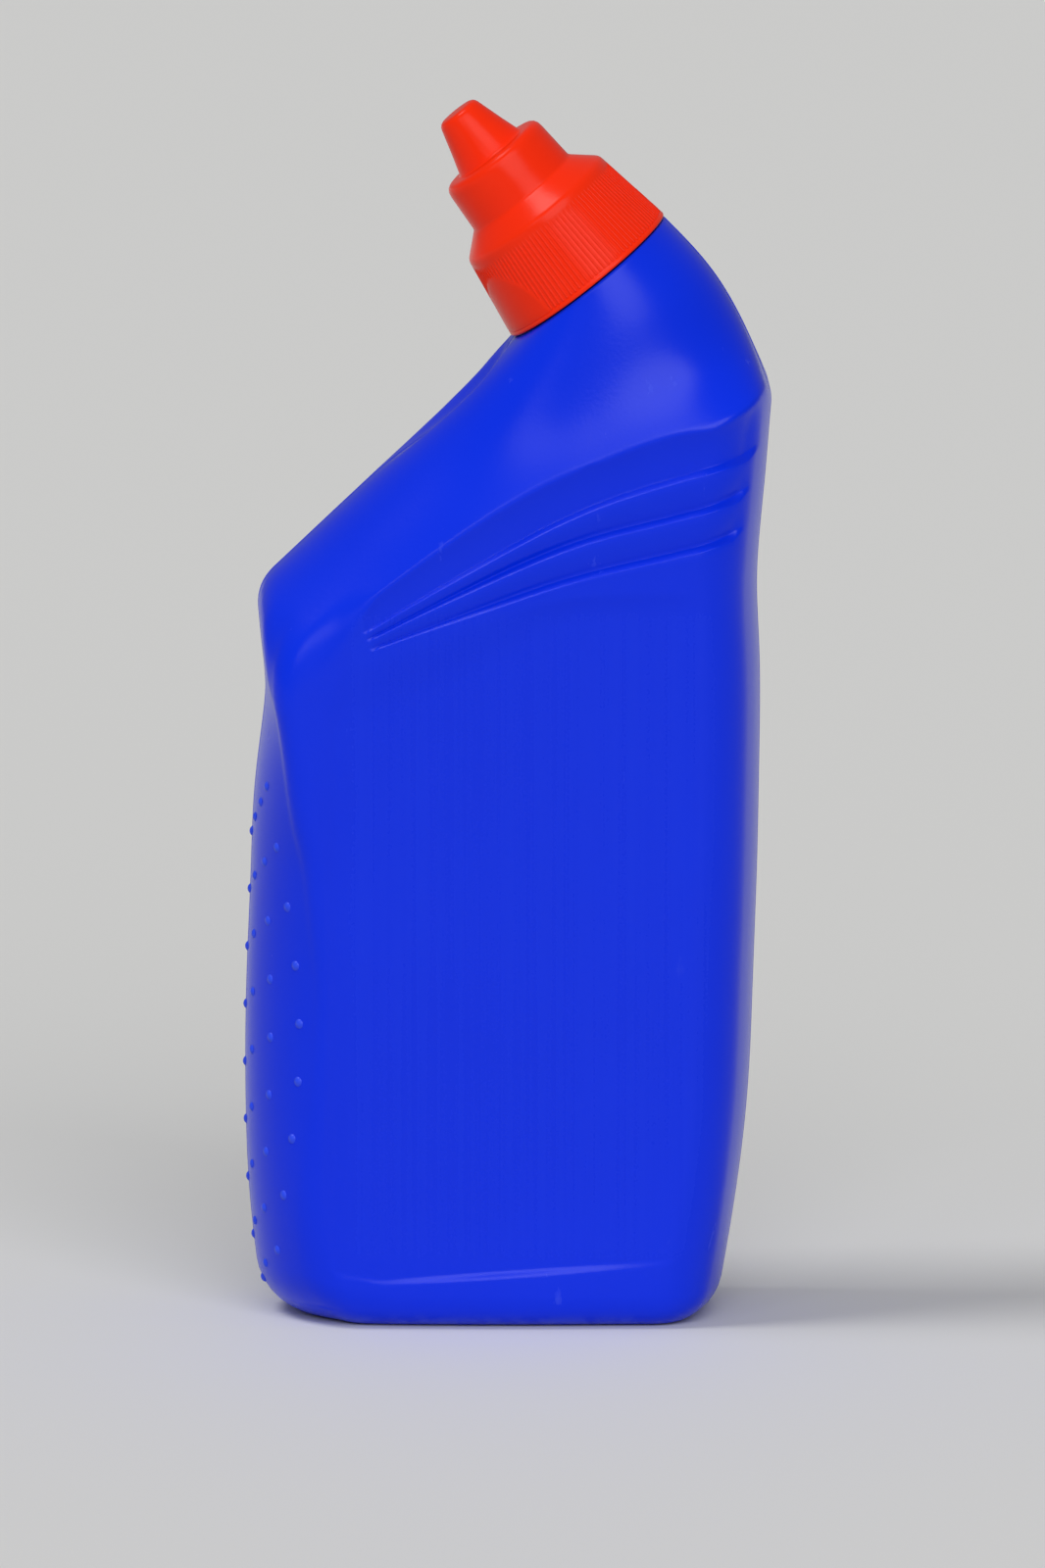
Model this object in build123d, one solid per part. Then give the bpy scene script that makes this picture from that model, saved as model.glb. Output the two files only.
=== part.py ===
from build123d import *
import math
import os

# Toilet cleaner bottle: a blow-moulded bottle with a leaning neck, its drip nozzle and its screw cap
# Millimetres, +Z up, the bottle standing on its base with the neck leaning to the front, which is -X
# The origin is on the floor under the middle of the bottle's length and depth

# Bottle body: nose, back and half depth at levels one step apart, from the floor up past the shoulder
level_step = 20.0
nose_line = (-43.2, -45.8, -46.6, -46.3, -45.5, -43.8, -43.3, -45.5, -47.6, -49.7, -51.8)
back_line = (36.9, 40.3, 42.6, 43.5, 44.2, 44.6, 44.6, 44.7, 46.4, 48.0, 49.5)
foot_half_depth = 22.8
foot_levels = 3
half_depth = 23.0
nose_margin = 2.0
back_radius = 54.0
side_bulge = 0.5
front_corner_radius = 10.0
back_corner_radius = 10.0
heel_radius = 6.0
wall = 1.2
floor_wall = 1.6
roof_wall_factor = 1.2

# Hollow under the base, an oval dome
push_up_length = 58.0
push_up_width = 22.0
push_up_height = 3.0
push_up_slope = 5.0
push_up_middle = -3.5

# Shoulder: (front x, front z, back x, back z, half width, front reach, front and back squareness)
shoulder_levels = [
    (-12.0, 161.4, 36.6, 186.2, 18.4, 31.0, 2.0, 2.2),
    (-26.0, 148.0, 42.9, 174.8, 20.1, 42.8, 2.0, 2.6),
    (-40.0, 134.7, 46.9, 164.4, 23.7, 56.3, 2.0, 5.5),
    (-54.0, 121.4, 50.4, 153.0, 29.1, 75.7, 2.0, 9.0),
]
channel_length = 27.0
channel_radius = 9.0
channel_depth = 1.8

# Label panel on each broad side
panel_depth = 0.8
panel_outline = [(-28.0, 8.2), (33.0, 12.2), (33.0, 131.8), (12.0, 131.5), (-2.0, 129.0), (-28.0, 119.3)]

# Scallops on each broad side: heights of the crease over them and of the three ledges at three places
scallop_places = (-24.0, 14.3, 40.5)
scallop_lines = [
    (131.9, 155.6, 163.8),
    (126.1, 147.7, 156.1),
    (124.3, 142.1, 149.2),
    (122.3, 135.9, 142.3),
]
scallop_depths = (0.35, 1.25, 1.25)
scallop_start = 0.15
scallop_lip = 0.5

# Grip dots on the nose
dot_radius = 1.1
dot_height = 0.45
dot_pitch = 10.35
dot_columns = 3
dot_column_angle = 17.5
dot_stagger = 3.3
dot_highest = 95.9
dot_middle = 50.0
dot_convergence = 0.43

# Neck, along its own axis from the seat of the cap
neck_lean = 38.5
seat_centre = (14.47, 185.53)
seat_radius = 17.0
neck_bore = 10.0
neck_wall = 2.2
neck_root = 3.6

# Nozzle insert, along the same axis
plug_clearance = 0.05
plug_wall = 1.1
plug_depth = 10.0
flange_inset = 0.4
flange_thickness = 1.4
flange_headroom = 0.25
spout_room = 1.2
cone_room = 0.35
cone_end_room = 0.95
spout_cone_height = 5.0
tip_radius = 2.6
tip_headroom = 1.65
tip_bore = 1.6

# Cap, along the same axis from its rim
rim_gap = 0.35
cap_wall = 1.3
rim_overhang = 0.3
thread_room = 1.35
skirt_height = 15.2
collar_radius = 10.7
collar_top_radius = 10.1
collar_foot = 18.9
collar_height = 27.8
finger_radius = 6.65
finger_top_radius = 3.8
finger_length = 9.6
collar_round = 1.4
finger_round = 0.9
pin_clearance = 0.2
pin_depth = 2.0
rib_count = 76
rib_depth = 0.3
rib_width = 0.8
rib_margin = 0.7
pad_angle = 70.0
pad_turn = 195.0

# Sizes that follow from these: the nose from the depth, the neck and its plug from the room in the cap
nose_radius = max(half_depth, foot_half_depth) + nose_margin
neck_radius = neck_bore + neck_wall
neck_height = skirt_height + rim_gap - flange_thickness - flange_headroom
skirt_rim_radius = seat_radius + rim_overhang
skirt_top_radius = neck_radius + thread_room + cap_wall
flange_radius = neck_radius - flange_inset
spout_radius = min(collar_radius, collar_top_radius) - cap_wall - spout_room
spout_cone_radius = finger_radius - cap_wall - cone_end_room
cone_share = (spout_radius - finger_radius + cap_wall + cone_room) / (spout_radius - spout_cone_radius)
cap_height = collar_height + finger_length
flange_end = neck_height + flange_thickness
spout_end = collar_height + rim_gap - cap_wall - spout_cone_height * cone_share
tip_end = cap_height + rim_gap - cap_wall - tip_headroom

lean = math.radians(neck_lean)
axis = Vector(-math.sin(lean), 0, math.cos(lean))
across = Vector(math.cos(lean), 0, math.sin(lean))
seat = Plane(origin=(seat_centre[0], 0, seat_centre[1]), x_dir=across, z_dir=axis)


def rise(radius, half_chord):
    """Height of an arc of this radius over half of its chord."""
    return radius - math.sqrt(radius**2 - half_chord**2)


def body_section(height, nose, back, half, inset):
    """One level of the body: a nose arc, two slightly bulged sides and a back arc."""
    corner = half - side_bulge - inset
    front = nose + inset
    rear = back - inset
    front_x = front + rise(nose_radius - inset, corner)
    rear_x = rear - rise(back_radius - inset, corner)
    middle = (front_x + rear_x) / 2
    edges = [
        ThreePointArc((front_x, -corner, height), (front, 0, height), (front_x, corner, height)),
        ThreePointArc((front_x, corner, height), (middle, half - inset, height), (rear_x, corner, height)),
        ThreePointArc((rear_x, corner, height), (rear, 0, height), (rear_x, -corner, height)),
        ThreePointArc((rear_x, -corner, height), (middle, inset - half, height), (front_x, -corner, height)),
    ]
    section = make_face(edges).face()
    section = section.fillet_2d(front_corner_radius - inset, section.vertices().sort_by(Axis.X)[:2])
    return section.fillet_2d(back_corner_radius - inset, section.vertices().sort_by(Axis.X)[-2:])


def body_solid(inset, floor):
    """The body up past the shoulder, with its heel rounded."""
    sections = []
    for number, (nose, back) in enumerate(zip(nose_line, back_line)):
        narrowing = max(1 - number / foot_levels, 0) ** 2
        half = half_depth - (half_depth - foot_half_depth) * narrowing
        sections.append(body_section(max(number * level_step, floor), nose, back, half, inset))
    solid = loft(sections)
    heel = solid.faces().sort_by(Axis.Z)[0].edges()
    return fillet(heel, heel_radius - inset)


def oval(front, back, half, split, front_power, back_power):
    """A flat oval in the plane of two mid-plane points: its ends have their own squareness."""
    along = (back - front).normalized()
    length = (back - front).length
    side = Vector(0, 1, 0)
    steps = [math.radians(a) for a in (0, 15, 30, 45, 60, 75, 90)]

    def quarter(end, inward, reach, power, sign):
        points = []
        for a in steps:
            p = reach * (1 - math.cos(a) ** (2 / power)) if a < steps[-1] else reach
            points.append(end + inward * p + side * (sign * half * math.sin(a) ** (2 / power)))
        return points

    edges = []
    for sign in (1, -1):
        ahead = quarter(front, along, split, front_power, sign)
        behind = quarter(back, -along, length - split, back_power, sign)
        edges.append(Spline(*ahead, tangents=(side * sign, along)))
        edges.append(Spline(*reversed(behind), tangents=(along, side * -sign)))
    return make_face(edges)


def above_shoulder(inset):
    """What is cut off the body: all that lies above the roof from the cap's round seat to the walls."""
    down = axis * (-inset * roof_wall_factor)
    centre = Vector(seat.origin) + down
    radius = seat_radius - inset
    sections = [oval(centre - across * radius, centre + across * radius, radius, radius, 2.0, 2.0)]
    for front_x, front_z, back_x, back_z, half, split, front_power, back_power in shoulder_levels:
        front = Vector(front_x, 0, front_z)
        back = Vector(back_x, 0, back_z)
        along = (back - front).normalized()
        front = front + along * inset + down
        back = back - along * inset + down
        sections.append(oval(front, back, half - inset, split - inset, front_power, back_power))
    low = Plane(origin=front, x_dir=along, z_dir=Vector(0, 1, 0).cross(-along))
    size = 2 * seat_centre[1]
    return low * Box(size, size, size, align=(Align.CENTER, Align.CENTER, Align.MIN)) - loft(sections)


def through(places, heights):
    """The parabola through three points, as a function of the place."""

    def height(x):
        total = 0
        for i, here in enumerate(places):
            part = heights[i]
            for j, other in enumerate(places):
                if j != i:
                    part *= (x - other) / (here - other)
            total += part
        return total

    return height


def side_wall(x):
    """Distance of the broad side from the mid-plane, past the round of the back corner."""
    corner = half_depth - side_bulge
    front_x = nose_line[-4] + rise(nose_radius, corner)
    rear_x = back_line[-4] - rise(back_radius, corner)
    reach = (rear_x - front_x) / 2
    bulge = half_depth - side_bulge * ((x - front_x - reach) / reach) ** 2
    turn = math.acos(corner / back_radius) / 2
    start = rear_x - back_corner_radius * math.tan(turn)
    if x <= start:
        return bulge
    return corner - back_corner_radius + math.sqrt(back_corner_radius**2 - (x - start) ** 2)


def scallop(top, bottom, inset):
    """One tapered step: its face slopes in from the line above to a ledge at the line below."""
    depth_at = through(scallop_places, scallop_depths)
    first, middle, last = scallop_places
    sections = []
    for x in (first, (first + middle) / 2, middle, (middle + last) / 2, last):
        skin = side_wall(x) - inset
        outside = skin + side_bulge + scallop_start + inset
        sections.append(
            make_face(
                Polyline(
                    (x, outside, top(x)),
                    (x, skin + scallop_start, top(x)),
                    (x, skin - depth_at(x), bottom(x)),
                    (x, outside, bottom(x) - scallop_lip),
                    close=True,
                )
            )
        )
    return loft(sections)


def side_cuts(inset):
    """The label panel and the scallops of one broad side and of the other."""
    skin = half_depth - panel_depth - inset
    outline = make_face(Polyline(*[(x, skin, z) for x, z in panel_outline], close=True))
    cuts = [extrude(outline, amount=half_depth, dir=(0, 1, 0))]
    lines = [through(scallop_places, heights) for heights in scallop_lines]
    for number, (above, below) in enumerate(zip(lines, lines[1:])):
        drop = scallop_lip if number else 0
        cuts.append(scallop(lambda x: above(x) - drop, below, inset))
    return cuts + [mirror(cut, about=Plane.XZ) for cut in cuts]


def push_up(inset):
    """The oval dome pressed up into the base."""
    low = Ellipse(push_up_length / 2 + inset, push_up_width / 2 + inset)
    high = Ellipse(push_up_length / 2 - push_up_slope + inset, push_up_width / 2 - push_up_slope + inset)
    rise_to = push_up_height + inset
    dome = loft([Pos(push_up_middle, 0, 0) * low, Pos(push_up_middle, 0, rise_to) * high])
    return fillet(dome.edges().group_by(Axis.Z)[-1], push_up_height / 2)


def channel(inset):
    """The drip channel down the front slope from the seat, fading to nothing at its lower end."""
    top = Vector(seat.origin) - across * (seat_radius - inset / 2)
    slope_foot = Vector(shoulder_levels[2][0], 0, shoulder_levels[2][1])
    along = (slope_foot - top).normalized()
    out = Vector(0, 1, 0).cross(along)
    radius = channel_radius + inset
    start = top + out * (channel_radius - channel_depth)
    finish = top + along * channel_length + out * channel_radius
    lie = Plane(origin=start, z_dir=(finish - start).normalized())
    return lie * Cylinder(radius, channel_length, align=(Align.CENTER, Align.CENTER, Align.MIN))


def bottle_shell():
    """The blown bottle: outside less inside, with its neck and grip dots."""
    outer = body_solid(0, 0) - above_shoulder(0) - side_cuts(0) - push_up(0) - channel(0)
    inner = body_solid(wall, floor_wall) - above_shoulder(wall) - side_cuts(wall)
    inner = inner - push_up(floor_wall) - channel(wall)
    neck = seat * Cylinder(neck_radius, neck_height + wall, align=(Align.CENTER, Align.CENTER, Align.MIN))
    neck = Pos(axis * -wall) * neck
    bore_length = neck_root + neck_height + wall
    bore = seat * Cylinder(neck_bore, bore_length, align=(Align.CENTER, Align.CENTER, Align.MIN))
    bore = Pos(axis * -neck_root) * bore
    return outer + neck + grip_dots(outer) - inner - bore


def grip_dots(body):
    """Low round dots in staggered columns round the nose, drawing together towards both ends."""
    dots = []
    for column in range(-dot_columns, dot_columns + 1):
        z = dot_highest - (dot_columns - abs(column)) * dot_stagger
        while z >= heel_radius:
            middle = Vector(min(nose_line[:3]) + nose_radius, 0, z)
            spread = 1 - dot_convergence * ((z - dot_middle) / (dot_highest - dot_middle)) ** 2
            turn = math.radians(column * dot_column_angle * spread)
            way = Vector(-math.cos(turn), math.sin(turn), 0)
            hits = body.find_intersection_points(Axis(middle, way))
            skin = max((hit for hit, normal in hits), key=lambda hit: (hit - middle).dot(way))
            dots.append(Pos(skin - way * (dot_radius - dot_height)) * Sphere(dot_radius))
            z -= dot_pitch
    return dots


def turned(points):
    """A solid of revolution on the neck's axis from (radius, height) points."""
    outline = make_face(Polyline(*[(r, 0, h) for r, h in points], close=True))
    return revolve(outline, Axis.Z)


def nozzle():
    """The plug and drip nozzle: a sleeve in the neck, a flange on its lip and a stepped spout."""
    plug = neck_bore - plug_clearance
    lip = neck_height
    cone_end = spout_end + spout_cone_height
    points = [
        (plug - plug_wall, lip - plug_depth),
        (plug, lip - plug_depth),
        (plug, lip),
        (flange_radius, lip),
        (flange_radius, flange_end),
        (spout_radius, flange_end),
        (spout_radius, spout_end),
        (spout_cone_radius, cone_end),
        (tip_radius, tip_end),
        (tip_bore, tip_end),
        (spout_cone_radius - plug_wall, cone_end),
        (spout_radius - plug_wall, spout_end),
        (spout_radius - plug_wall, flange_end - plug_wall),
        (plug - plug_wall, flange_end - plug_wall),
    ]
    return seat * turned(points)


def cap():
    """The screw cap: a ribbed skirt, a shoulder, a plain tier and a tapered finger, open below."""
    outside = turned(
        [
            (0, 0),
            (skirt_rim_radius, 0),
            (skirt_top_radius, skirt_height),
            (collar_radius, collar_foot),
            (collar_top_radius, collar_height),
            (finger_radius, collar_height),
            (finger_top_radius, cap_height),
            (0, cap_height),
        ]
    )
    finger_middle = (collar_height + cap_height) / 2
    collar_middle = (collar_foot + collar_height) / 2
    rims = [e for e in outside.edges() if collar_middle < e.center().Z < finger_middle]
    outside = fillet(max(rims, key=lambda e: e.length), collar_round)
    outside = fillet(outside.edges().sort_by(Axis.Z)[-1], finger_round)
    hollow = turned(
        [
            (0, 0),
            (skirt_rim_radius - cap_wall, 0),
            (skirt_top_radius - cap_wall, skirt_height),
            (collar_radius - cap_wall, collar_foot),
            (collar_top_radius - cap_wall, collar_height - cap_wall),
            (finger_radius - cap_wall, collar_height - cap_wall),
            (finger_top_radius - cap_wall / 2, cap_height - cap_wall),
            (0, cap_height - cap_wall),
        ]
    )
    pin_foot = tip_end - rim_gap - pin_depth
    pin_length = cap_height - cap_wall - pin_foot
    pin = Cylinder(tip_bore - pin_clearance, pin_length, align=(Align.CENTER, Align.CENTER, Align.MIN))
    pin = Pos(0, 0, pin_foot) * pin
    return seat * (Pos(0, 0, rim_gap) * (outside - rib_grooves() - hollow + pin))


def rib_grooves():
    """The grooves between the fine ribs of the skirt, left out over the two squeeze pads."""
    foot = Vector(skirt_rim_radius, 0, 0)
    head = Vector(skirt_top_radius, 0, skirt_height)
    run = (head - foot).normalized()
    out = Vector(0, 1, 0).cross(run)
    start = foot + run * rib_margin
    vee = make_face(
        Polyline(
            start - out * rib_depth,
            start + out * rib_depth + Vector(0, rib_width, 0),
            start + out * rib_depth - Vector(0, rib_width, 0),
            close=True,
        )
    )
    groove = extrude(vee, amount=(head - foot).length - 2 * rib_margin, dir=run)
    grooves = []
    for number in range(rib_count):
        turn = number * 360 / rib_count
        from_pad = (turn - pad_turn + 90) % 180 - 90
        if abs(from_pad) > pad_angle / 2:
            grooves.append(Rot(0, 0, turn) * groove)
    return grooves


os.makedirs("parts", exist_ok=True)
export_step(bottle_shell(), "parts/bottle.step")
export_step(nozzle(), "parts/nozzle_insert.step")
export_step(cap(), "parts/cap.step")
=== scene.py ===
import math

import bmesh
import bpy
import numpy as np
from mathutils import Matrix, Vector


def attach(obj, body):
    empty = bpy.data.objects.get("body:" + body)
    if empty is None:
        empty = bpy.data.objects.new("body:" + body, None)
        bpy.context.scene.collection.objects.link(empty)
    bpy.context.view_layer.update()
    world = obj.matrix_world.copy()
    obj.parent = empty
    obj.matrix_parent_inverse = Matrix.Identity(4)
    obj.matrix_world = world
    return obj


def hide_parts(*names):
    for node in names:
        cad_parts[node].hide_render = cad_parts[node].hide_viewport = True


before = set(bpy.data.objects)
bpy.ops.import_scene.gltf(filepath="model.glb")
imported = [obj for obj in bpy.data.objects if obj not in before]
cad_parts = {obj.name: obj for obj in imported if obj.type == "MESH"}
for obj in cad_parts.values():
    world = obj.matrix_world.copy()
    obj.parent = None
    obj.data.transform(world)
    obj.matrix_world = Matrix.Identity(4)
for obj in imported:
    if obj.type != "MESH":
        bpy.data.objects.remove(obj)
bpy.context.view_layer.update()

# Bottle: one hollow blow-moulded piece of blue polyethylene. Its flat-sided body has a dotted grip at
# the nose and a label panel on each side; over three scallops and a crease a fanned shoulder narrows
# to the round seat of the cap and the threaded neck, which leans to the front. Sizes are millimetres.
MM = 0.001


def through(knots):
    """A smooth curve through (place, value) knots. Rows of values give one curve for each column."""
    places = np.array([place for place, value in knots], float)
    values = np.array([value for place, value in knots], float)
    gaps = np.diff(places)
    system, pull = np.eye(len(places)), np.zeros_like(values)
    for i in range(1, len(places) - 1):
        system[i, i - 1 : i + 2] = gaps[i - 1], 2 * (gaps[i - 1] + gaps[i]), gaps[i]
        rise_after = (values[i + 1] - values[i]) / gaps[i]
        rise_before = (values[i] - values[i - 1]) / gaps[i - 1]
        pull[i] = 6 * (rise_after - rise_before)
    bend = np.linalg.solve(system, pull)

    def curve(place):
        place = np.clip(place, places[0], places[-1])
        i = np.clip(np.searchsorted(places, place) - 1, 0, len(gaps) - 1)
        at = (i,) if values.ndim == 1 else (i, np.arange(values.shape[1]))
        above = (i + 1,) + at[1:]
        gap, done, left = gaps[i], place - places[i], places[i + 1] - place
        arch = (bend[at] * left**3 + bend[above] * done**3) / (6 * gap)
        from_below = (values[at] / gap - bend[at] * gap / 6) * left
        from_above = (values[above] / gap - bend[above] * gap / 6) * done
        return arch + from_below + from_above

    return curve


def ease(place, start, end):
    """0 before the start, 1 past the end, and a soft step between."""
    t = np.clip((place - start) / (end - start), 0, 1)
    return t * t * (3 - 2 * t)


# the body's lines over its height: nose and back in side view, the grip's bulge from the front edges to
# the nose, the radius of those edges, and how many degrees more they turn where the grip has a valley
nose_line = through([
    (0, -43.2), (20, -45.6), (40, -46.4), (60, -46.2), (80, -45.4), (94, -44.75), (104, -43.6),
    (109, -43.0), (112, -42.8), (115, -42.95), (120, -43.5), (127, -44.15), (140, -45.6), (175, -49.2)])
back_line = through([
    (0, 36.9), (20, 40.3), (40, 42.6), (60, 43.5), (80, 44.2), (100, 44.6), (120, 44.55),
    (131, 44.15), (140, 44.65), (150, 45.6), (161, 46.5), (175, 47.8)])
grip_width = through([
    (0, 10.0), (8, 8.2), (19, 8.0), (28, 9.0), (37, 10.4), (54, 11.7), (63, 11.5), (70, 10.6), (77, 9.6),
    (84, 8.5), (89, 7.1), (97, 5.2), (102, 4.0), (108, 2.4), (113, 1.2), (127, 1.5), (175, 2.5)])
edge_round = through([
    (0, 14), (8, 11), (20, 8), (37, 6.2), (54, 5), (77, 4.2), (100, 4), (127, 3.8), (175, 4)])
valley_turn = through([
    (0, 0), (24, 0), (37, 4), (54, 12), (63, 15), (77, 17), (90, 18), (100, 18), (108, 14), (114, 4),
    (120, 0), (175, 0)])
half_depth, foot_depth, foot_height, side_bulge = 23.0, 22.8, 60, 0.5
back_radius, back_corner = 54.0, 10.0
wall = 1.2


def half_outline(z):
    """The body's outline at one level: the grip's arc, the rounded front edge, the side and the back."""
    flat = half_depth - (half_depth - foot_depth) * max(1 - z / foot_height, 0) ** 2 - side_bulge
    nose, width, edge = float(nose_line(z)), float(grip_width(z)), float(edge_round(z))
    bend = math.radians(50)
    for _ in range(30):  # the edge's bend and the arc that it meets settle together
        out = flat - edge * (1 - math.cos(bend))
        grip = (out**2 + width**2) / (2 * width)
        bend = math.pi / 2 - math.asin(out / grip) + math.radians(float(valley_turn(z)))
    near = nose + width + edge * math.sin(bend)
    tail = float(back_line(z)) - back_radius
    low = flat - back_corner
    far = tail + math.sqrt((back_radius - back_corner) ** 2 - low**2)
    back_turn = math.atan2(low, far - tail)
    a = np.linspace(0, math.asin(out / grip), 160)
    b = np.linspace(bend, 0, 60)[1:]
    s = np.linspace(-1, 1, 160)[1:]
    c = np.linspace(math.pi / 2, back_turn, 60)[1:]
    d = np.linspace(back_turn, 0, 120)[1:]
    x = [nose + grip * (1 - np.cos(a)), near - edge * np.sin(b), near + (far - near) * (s + 1) / 2,
         far + back_corner * np.cos(c), tail + back_radius * np.cos(d)]
    y = [grip * np.sin(a), flat - edge * (1 - np.cos(b)), flat + side_bulge * (1 - s**2) ** 2,
         low + back_corner * np.sin(c), back_radius * np.sin(d)]
    return np.concatenate(x), np.concatenate(y)


# columns round one half, close together at the grip, at the ends of the scallops and at the seams
side_pitch, finest_pitch = 1.7, 0.55
closer_at_grip, closer_at_back, closer_at_tips = 1.05, 0.7, 0.9
seam_width, seam_reach = 0.3, 45
x, y = half_outline(foot_height)
pitch = side_pitch - closer_at_grip * (1 - ease(x, -27, -23)) - closer_at_back * ease(x, 30, 36)
pitch = pitch - closer_at_tips * ease(x, -29, -26.5) * (1 - ease(x, -22, -18))
gone = np.hypot(np.diff(x), np.diff(y)) / np.maximum(pitch[1:], finest_pitch)
steps = np.append(0, np.cumsum(gone))
spots = np.linspace(0, steps[-1], int(steps[-1]) + 1)
turn = np.interp(spots, steps, np.arctan2(y, -x))
seam = seam_width / seam_reach
turn = np.concatenate([
    [0, seam, 2 * seam], turn[1:-1], [math.pi - 2 * seam, math.pi - seam, math.pi]])
count = len(turn)

body_top = 175
levels = np.arange(0, body_top + 1, 1.0)
reach = np.empty((len(levels), count))
for i, z in enumerate(levels):
    x, y = half_outline(z)
    reach[i] = np.interp(turn, np.arctan2(y, -x), np.hypot(x, y))


def body_points(z):
    """Points of the plain body at these heights, one for each column."""
    i = np.clip(z.astype(int), 0, len(levels) - 2)
    part = z - i
    at = np.arange(count)
    r = reach[i, at] * (1 - part) + reach[i + 1, at] * part
    return np.stack([-np.cos(turn) * r, np.sin(turn) * r, z], axis=1)


# the fanned shoulder: flat ovals from the seat of the cap down past the crease, each with its front and
# back end, half its width, how far from the front it is widest, and how square its two ends are
neck_lean = math.radians(38.5)
axis = np.array([-math.sin(neck_lean), 0, math.cos(neck_lean)])
across = np.array([math.cos(neck_lean), 0, math.sin(neck_lean)])
sideways = np.array([0, 1.0, 0])
seat = np.array([14.47, 0, 185.53])
seat_radius = 17.0
seat_half = across * seat_radius
ovals = [
    (seat - seat_half, seat + seat_half, 17.0, 17.0, 2.0, 2.0),
    (np.array([-12.0, 0, 161.4]), np.array([36.6, 0, 186.2]), 18.4, 31.0, 2.0, 2.2),
    (np.array([-26.0, 0, 148.0]), np.array([42.9, 0, 174.8]), 20.1, 42.8, 2.0, 2.6),
    (np.array([-40.0, 0, 134.7]), np.array([46.9, 0, 164.4]), 23.7, 56.3, 2.0, 5.5),
    (np.array([-54.0, 0, 121.4]), np.array([50.4, 0, 153.0]), 29.1, 75.7, 1.96, 9.0),
    (np.array([-68.0, 0, 108.1]), np.array([53.6, 0, 141.4]), 36.0, 97.0, 1.96, 9.0),
]


def oval_points(oval, angle):
    """Points of one oval: the angle runs from its front end over one side to its back end."""
    front, back, half, split, front_power, back_power = oval
    length = np.linalg.norm(back - front)
    way = (back - front) / length
    ahead = angle <= math.pi / 2
    a = np.where(ahead, angle, math.pi - angle)
    power = 2 / np.where(ahead, front_power, back_power)
    size = np.where(ahead, split, length - split)
    run = size * (1 - np.abs(np.cos(a)) ** power)
    out = half * np.abs(np.sin(a)) ** power
    place = np.where(ahead, run, length - run)
    return front + place[:, None] * way + out[:, None] * sideways


def shoulder(angle):
    """The shoulder's surface as curves from the seat, at 0, down to the lowest oval, at 5."""
    rings = np.array([oval_points(oval, angle) for oval in ovals])
    curves = [through([(k, rings[k, :, i]) for k in range(len(ovals))]) for i in range(3)]
    return lambda v: np.stack([curve(v) for curve in curves], axis=1)


# where the shoulder meets the body's wall: the crease, found along close-set curves of the shoulder
fine = np.linspace(0, math.pi, 721)
fan = shoulder(fine)
crossing = np.zeros(len(fine))
open_yet = np.ones(len(fine), bool)
for v in np.linspace(1.5, 5, 701):
    p = fan(np.full(len(fine), v))
    place = np.interp(np.arctan2(p[:, 1], -p[:, 0]), turn, np.arange(count))
    low = np.clip(place.astype(int), 0, count - 2)
    level = np.clip(p[:, 2].astype(int), 0, len(levels) - 2)
    r = reach[level, low] * (1 - place + low) + reach[level, low + 1] * (place - low)
    open_yet &= np.hypot(p[:, 0], p[:, 1]) < r
    crossing[open_yet] = v
p = fan(crossing)
crease_turn = np.arctan2(p[:, 1], -p[:, 0])
order = np.argsort(crease_turn)
fan_turn = np.interp(turn, crease_turn[order], fine[order])
fan_turn[0], fan_turn[-1] = 0, math.pi
meeting = np.interp(fan_turn, fine, crossing)
fan = shoulder(fan_turn)
crease = fan(meeting)

# the crease is tight along the side, rounder at the back and roundest at the nose and its corners
scallop_level = 140.0
side_x = body_points(np.full(count, scallop_level))[:, 0]
side_round, nose_round, back_round, corner_round = 0.7, 3.5, 1.3, 5.0
rounding = side_round + nose_round * (1 - ease(side_x, -36, -22)) + back_round * ease(side_x, 42, 46)
rounding = rounding + corner_round * ease(crease[:, 1], 12, 19) * (1 - ease(side_x, -33, -22))

# ledges of the three scallops, the upper one first, and the ends where each begins and stops
ledges = [
    through([(-25.1, 125.4), (-6.5, 136.8), (14.3, 147.7), (31.7, 153.5), (43, 156.8)]),
    through([(-24.4, 124.1), (-6.5, 133.3), (14.3, 142.1), (31.7, 146.6), (41.7, 149.5)]),
    through([(-23.7, 122.4), (-6.5, 128.9), (14.3, 135.9), (31.7, 140.0), (40.8, 142.4)]),
]
ledge_ends = [(-25.6, 43.2), (-24.9, 42.0), (-24.2, 41.4)]
ledge_depth, more_depth, ledge_lip, more_lip = 0.5, 0.75, 0.55, 0.65
end_run, tip_run, tip_rise = 1.6, 2.4, 1.2
panel_top = through([
    (-30, 118.0), (-23.7, 120.0), (-6.5, 126.6), (6, 130.4), (14, 131.5), (33, 131.9), (43, 132.0)])
panel_foot = through([(-30, 8.0), (-23, 8.4), (24, 11.6), (33, 12.2)])
panel_depth, panel_front, panel_back = 0.8, (-32.8, -30.2), (30, 35)
crease_gap, ledge_gap, panel_gap = 0.6, 0.25, 0.8

lines, depths, lips = [], [], []
ceiling = crease[:, 2] - rounding - crease_gap
for ledge, (start, end) in zip(ledges, ledge_ends):
    line = ledge(side_x) + tip_rise * ease(side_x, end - tip_run, end) ** 2
    line = np.minimum(line, ceiling)
    depth = ledge_depth + more_depth * ease(side_x, -24, 6)
    depth = depth * ease(side_x, start, start + end_run) * (1 - ease(side_x, end - end_run, end))
    lip = ledge_lip + more_lip * ease(side_x, -22, 0)
    lines.append(line)
    depths.append(depth)
    lips.append(lip)
    ceiling = line - lip - ledge_gap
top_line = np.minimum(panel_top(side_x), ceiling - panel_gap)
foot_line = panel_foot(side_x)

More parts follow.
